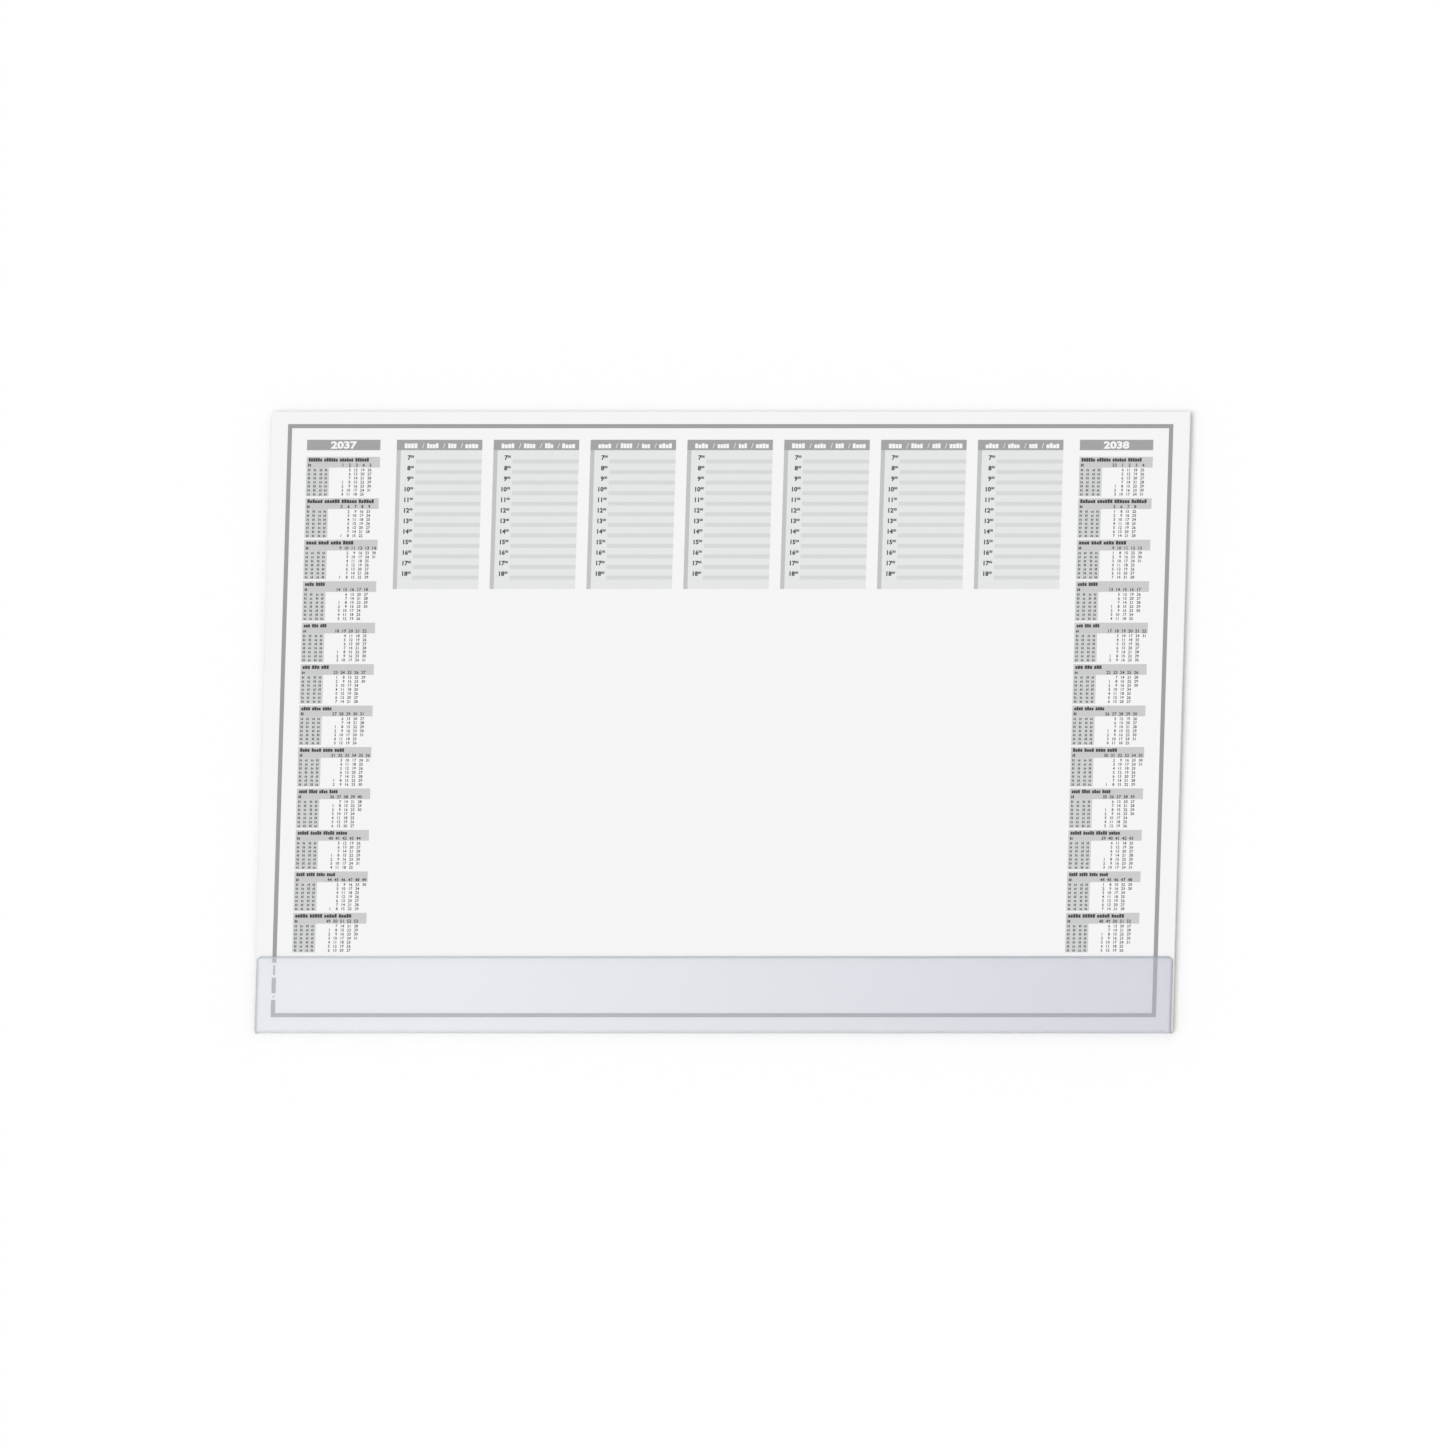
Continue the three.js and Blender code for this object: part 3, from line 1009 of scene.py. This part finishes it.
def add_slash(target, x, y, layer):
    """A thin leaning bar, as tall as the strokes beside it."""
    left, right, rear = x + SLASH_LEAN, x + SLASH_WIDTH + SLASH_LEAN, y + HEADING_HEIGHT
    outline = [(x, y), (x + SLASH_WIDTH, y), (right, rear), (left, rear)]
    bottom = [target.verts.new((*corner, FIELD_Z)) for corner in outline]
    top = [target.verts.new((*corner, FIELD_Z + layer)) for corner in outline]
    target.faces.new(reversed(bottom))
    target.faces.new(top)
    for side in range(4):
        following = (side + 1) % 4
        target.faces.new((bottom[side], bottom[following], top[following], top[side]))


class DESKPAD_OT_day_words(bpy.types.Operator):
    """Prints groups of plain light strokes along each day heading, with slashes between them"""

    bl_idname = "desk_pad.day_words"
    bl_label = "Day headings"

    def execute(self, context):
        ink = context.scene.desk_pad_ink
        words = Strokes(FIELD_Z, ink.layer)
        slashes = bmesh.new()
        for day in DAYS:
            low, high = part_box(f"day_heading_{day}")
            base = high.y - HEADING_BASE
            for start, stop in HEADING_WORDS:
                words.word(low.x + start * MM, low.x + stop * MM, base, HEADING_HEIGHT, HEADING_COVER)
            for across in HEADING_SLASHES:
                add_slash(slashes, low.x + across * MM, base, ink.layer)
        material = ink_material("light_ink", ink.light)
        words.build("day_words", HEADING_SHORTEST, material, "paper")
        mesh = bpy.data.meshes.new("day_slashes")
        slashes.to_mesh(mesh)
        slashes.free()
        mesh.materials.append(material)
        piece = link_object("day_slashes", mesh)
        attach(piece, BODY)
        return {"FINISHED"}


class DESKPAD_OT_hours(bpy.types.Operator):
    """Prints the hours beside each day panel, and the two years"""

    bl_idname = "desk_pad.hours"
    bl_label = "Hours and years"

    def execute(self, context):
        ink = context.scene.desk_pad_ink
        numerals = numeral_set("bold_numeral", HOUR_BOLDNESS)
        dark = ink_material("hour_ink", ink.dark)
        light = ink_material("year_ink", ink.light)
        hours = Figures(FIELD_Z)
        for day in DAYS:
            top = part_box(f"day_panel_{day}")[1].y
            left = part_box(f"margin_rule_{day}")[0].x
            for step, hour in enumerate(HOURS):
                middle = top - FIRST_RULE - step * HOUR_PITCH + HOUR_ABOVE_RULE
                base = middle - ink.hour_height / 2
                hours.write(str(hour), left + HOUR_RIGHT, base, ink.hour_height)
                raised = base + ink.hour_height - ink.minute_height
                hours.write(MINUTES, left + MINUTE_RIGHT, raised, ink.minute_height)
        hours.build("hour_figures", numerals, ink.layer, dark, "border_ink")

        years = Figures(FIELD_Z)
        height = ink.year_height
        for side in SIDES:
            low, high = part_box(f"year_bar_{side}")
            year = str(YEARS[side])
            half_length = len(year) / 2 * height * YEAR_STRETCH * ADVANCE_SHARE
            right = (low.x + high.x) / 2 + half_length
            years.write(year, right, (low.y + high.y - height) / 2, height, YEAR_STRETCH)
        years.build("year_figures", numerals, ink.layer, light, "paper")
        bpy.data.collections.remove(numerals)
        return {"FINISHED"}


class DESKPAD_OT_stage(bpy.types.Operator):
    """Sets the floor, the even light, one soft lamp and the camera"""

    bl_idname = "desk_pad.stage"
    bl_label = "Stage"

    def execute(self, context):
        stage = context.scene.desk_pad_stage
        add_floor()
        add_light(stage)
        add_camera(stage)
        context.scene.view_settings.view_transform = "Standard"
        return {"FINISHED"}


def add_floor():
    """A white floor, open under the pad so that its underside is lit when it is looked at."""
    low, high = CAD_BOX
    corners = []
    for spread in (FLOOR_REACH, -FLOOR_INSET):
        left, front = low.x - spread, low.y - spread
        right, rear = high.x + spread, high.y + spread
        outline = ((left, front), (right, front), (right, rear), (left, rear))
        corners += [(*corner, -FLOOR_DROP) for corner in outline]
    sides = [(side, (side + 1) % 4, (side + 1) % 4 + 4, side + 4) for side in range(4)]
    mesh = bpy.data.meshes.new("floor")
    mesh.from_pydata(corners, [], sides)
    floor = link_object("floor", mesh)
    material, tree, shader = new_material("white_floor")
    set_inputs(tree, shader, {"Base Color": (1, 1, 1, 1), "Roughness": 1, "Specular IOR Level": 0})
    # From below, the floor lets the underside of the pad show
    open_below = add_node(tree, "ShaderNodeMixShader", {
        0: tree.nodes.new("ShaderNodeNewGeometry").outputs["Backfacing"],
        1: shader.outputs[0],
        2: tree.nodes.new("ShaderNodeBsdfTransparent").outputs[0],
    })
    tree.links.new(open_below.outputs[0], tree.nodes["Material Output"].inputs["Surface"])
    mesh.materials.append(material)


def add_light(stage):
    """An even white world, full white where it is seen, and one soft lamp from the left front."""
    world = bpy.data.worlds.new("white_studio")
    bpy.context.scene.world = world
    world.use_nodes = True
    tree = world.node_tree
    path = tree.nodes.new("ShaderNodeLightPath").outputs
    seen = math_node(tree, "MAXIMUM", path["Is Camera Ray"], path["Is Glossy Ray"])
    seen = math_node(tree, "MAXIMUM", seen, path["Is Transmission Ray"])
    extra = math_node(tree, "MULTIPLY", seen, 1 - stage.sky)
    strength = math_node(tree, "ADD", extra, stage.sky)
    set_inputs(tree, tree.nodes["Background"], {"Color": (1, 1, 1, 1), "Strength": strength})

    key = bpy.data.lights.new("soft_key", "SUN")
    key.energy = stage.key * math.pi / math.cos(stage.key_lean)
    key.angle = stage.key_spread
    lamp = link_object("soft_key", key)
    towards = Vector((-1, -1, math.sqrt(2) / math.tan(stage.key_lean)))
    lamp.rotation_euler = towards.to_track_quat("Z", "Y").to_euler()


def add_camera(stage):
    """A parallel camera above the pad, tilted so that the front and the right edges show."""
    data = bpy.data.cameras.new("camera")
    data.type = "ORTHO"
    data.ortho_scale = stage.picture_width
    back = Vector((math.tan(stage.right_tilt), -math.tan(stage.front_tilt), 1)).normalized()
    up = back.cross(Vector((1, 0, 0))).normalized()
    right = up.cross(back)
    camera = link_object("camera", data)
    low, high = CAD_BOX
    turned = Matrix((right, up, back)).transposed().to_4x4()
    place = (low + high) / 2 + back * CAMERA_DISTANCE
    camera.matrix_world = Matrix.Translation(place) @ turned
    bpy.context.scene.camera = camera


class DESKPAD_PT_panel(bpy.types.Panel):
    """Lists the steps that build the desk pad, with their settings."""

    bl_label = "Desk Pad"
    bl_idname = "DESKPAD_PT_panel"
    bl_space_type = "VIEW_3D"
    bl_region_type = "UI"
    bl_category = "Desk Pad"

    def draw(self, context):
        for step in STEPS:
            self.layout.operator(step.bl_idname)
        for group in SETTINGS:
            settings = getattr(context.scene, group)
            box = self.layout.box()
            for name in settings.__annotations__:
                box.prop(settings, name)


SETTINGS = {
    "desk_pad_paper": PaperSettings,
    "desk_pad_ink": InkSettings,
    "desk_pad_strip": StripSettings,
    "desk_pad_stage": StageSettings,
}
STEPS = (
    DESKPAD_OT_sheets,
    DESKPAD_OT_board,
    DESKPAD_OT_strip,
    DESKPAD_OT_fields,
    DESKPAD_OT_border_marks,
    DESKPAD_OT_dates,
    DESKPAD_OT_month_words,
    DESKPAD_OT_day_words,
    DESKPAD_OT_hours,
    DESKPAD_OT_stage,
)


def register():
    for settings in SETTINGS.values():
        bpy.utils.register_class(settings)
    for name, settings in SETTINGS.items():
        setattr(bpy.types.Scene, name, PointerProperty(type=settings))
    for entry in (*STEPS, DESKPAD_PT_panel):
        bpy.utils.register_class(entry)


def unregister():
    for entry in (DESKPAD_PT_panel, *reversed(STEPS)):
        bpy.utils.unregister_class(entry)
    for name in SETTINGS:
        delattr(bpy.types.Scene, name)
    for settings in reversed(SETTINGS.values()):
        bpy.utils.unregister_class(settings)


def main():
    register()
    for step in STEPS:
        group, name = step.bl_idname.split(".")
        getattr(getattr(bpy.ops, group), name)()


if __name__ == "__main__":
    main()
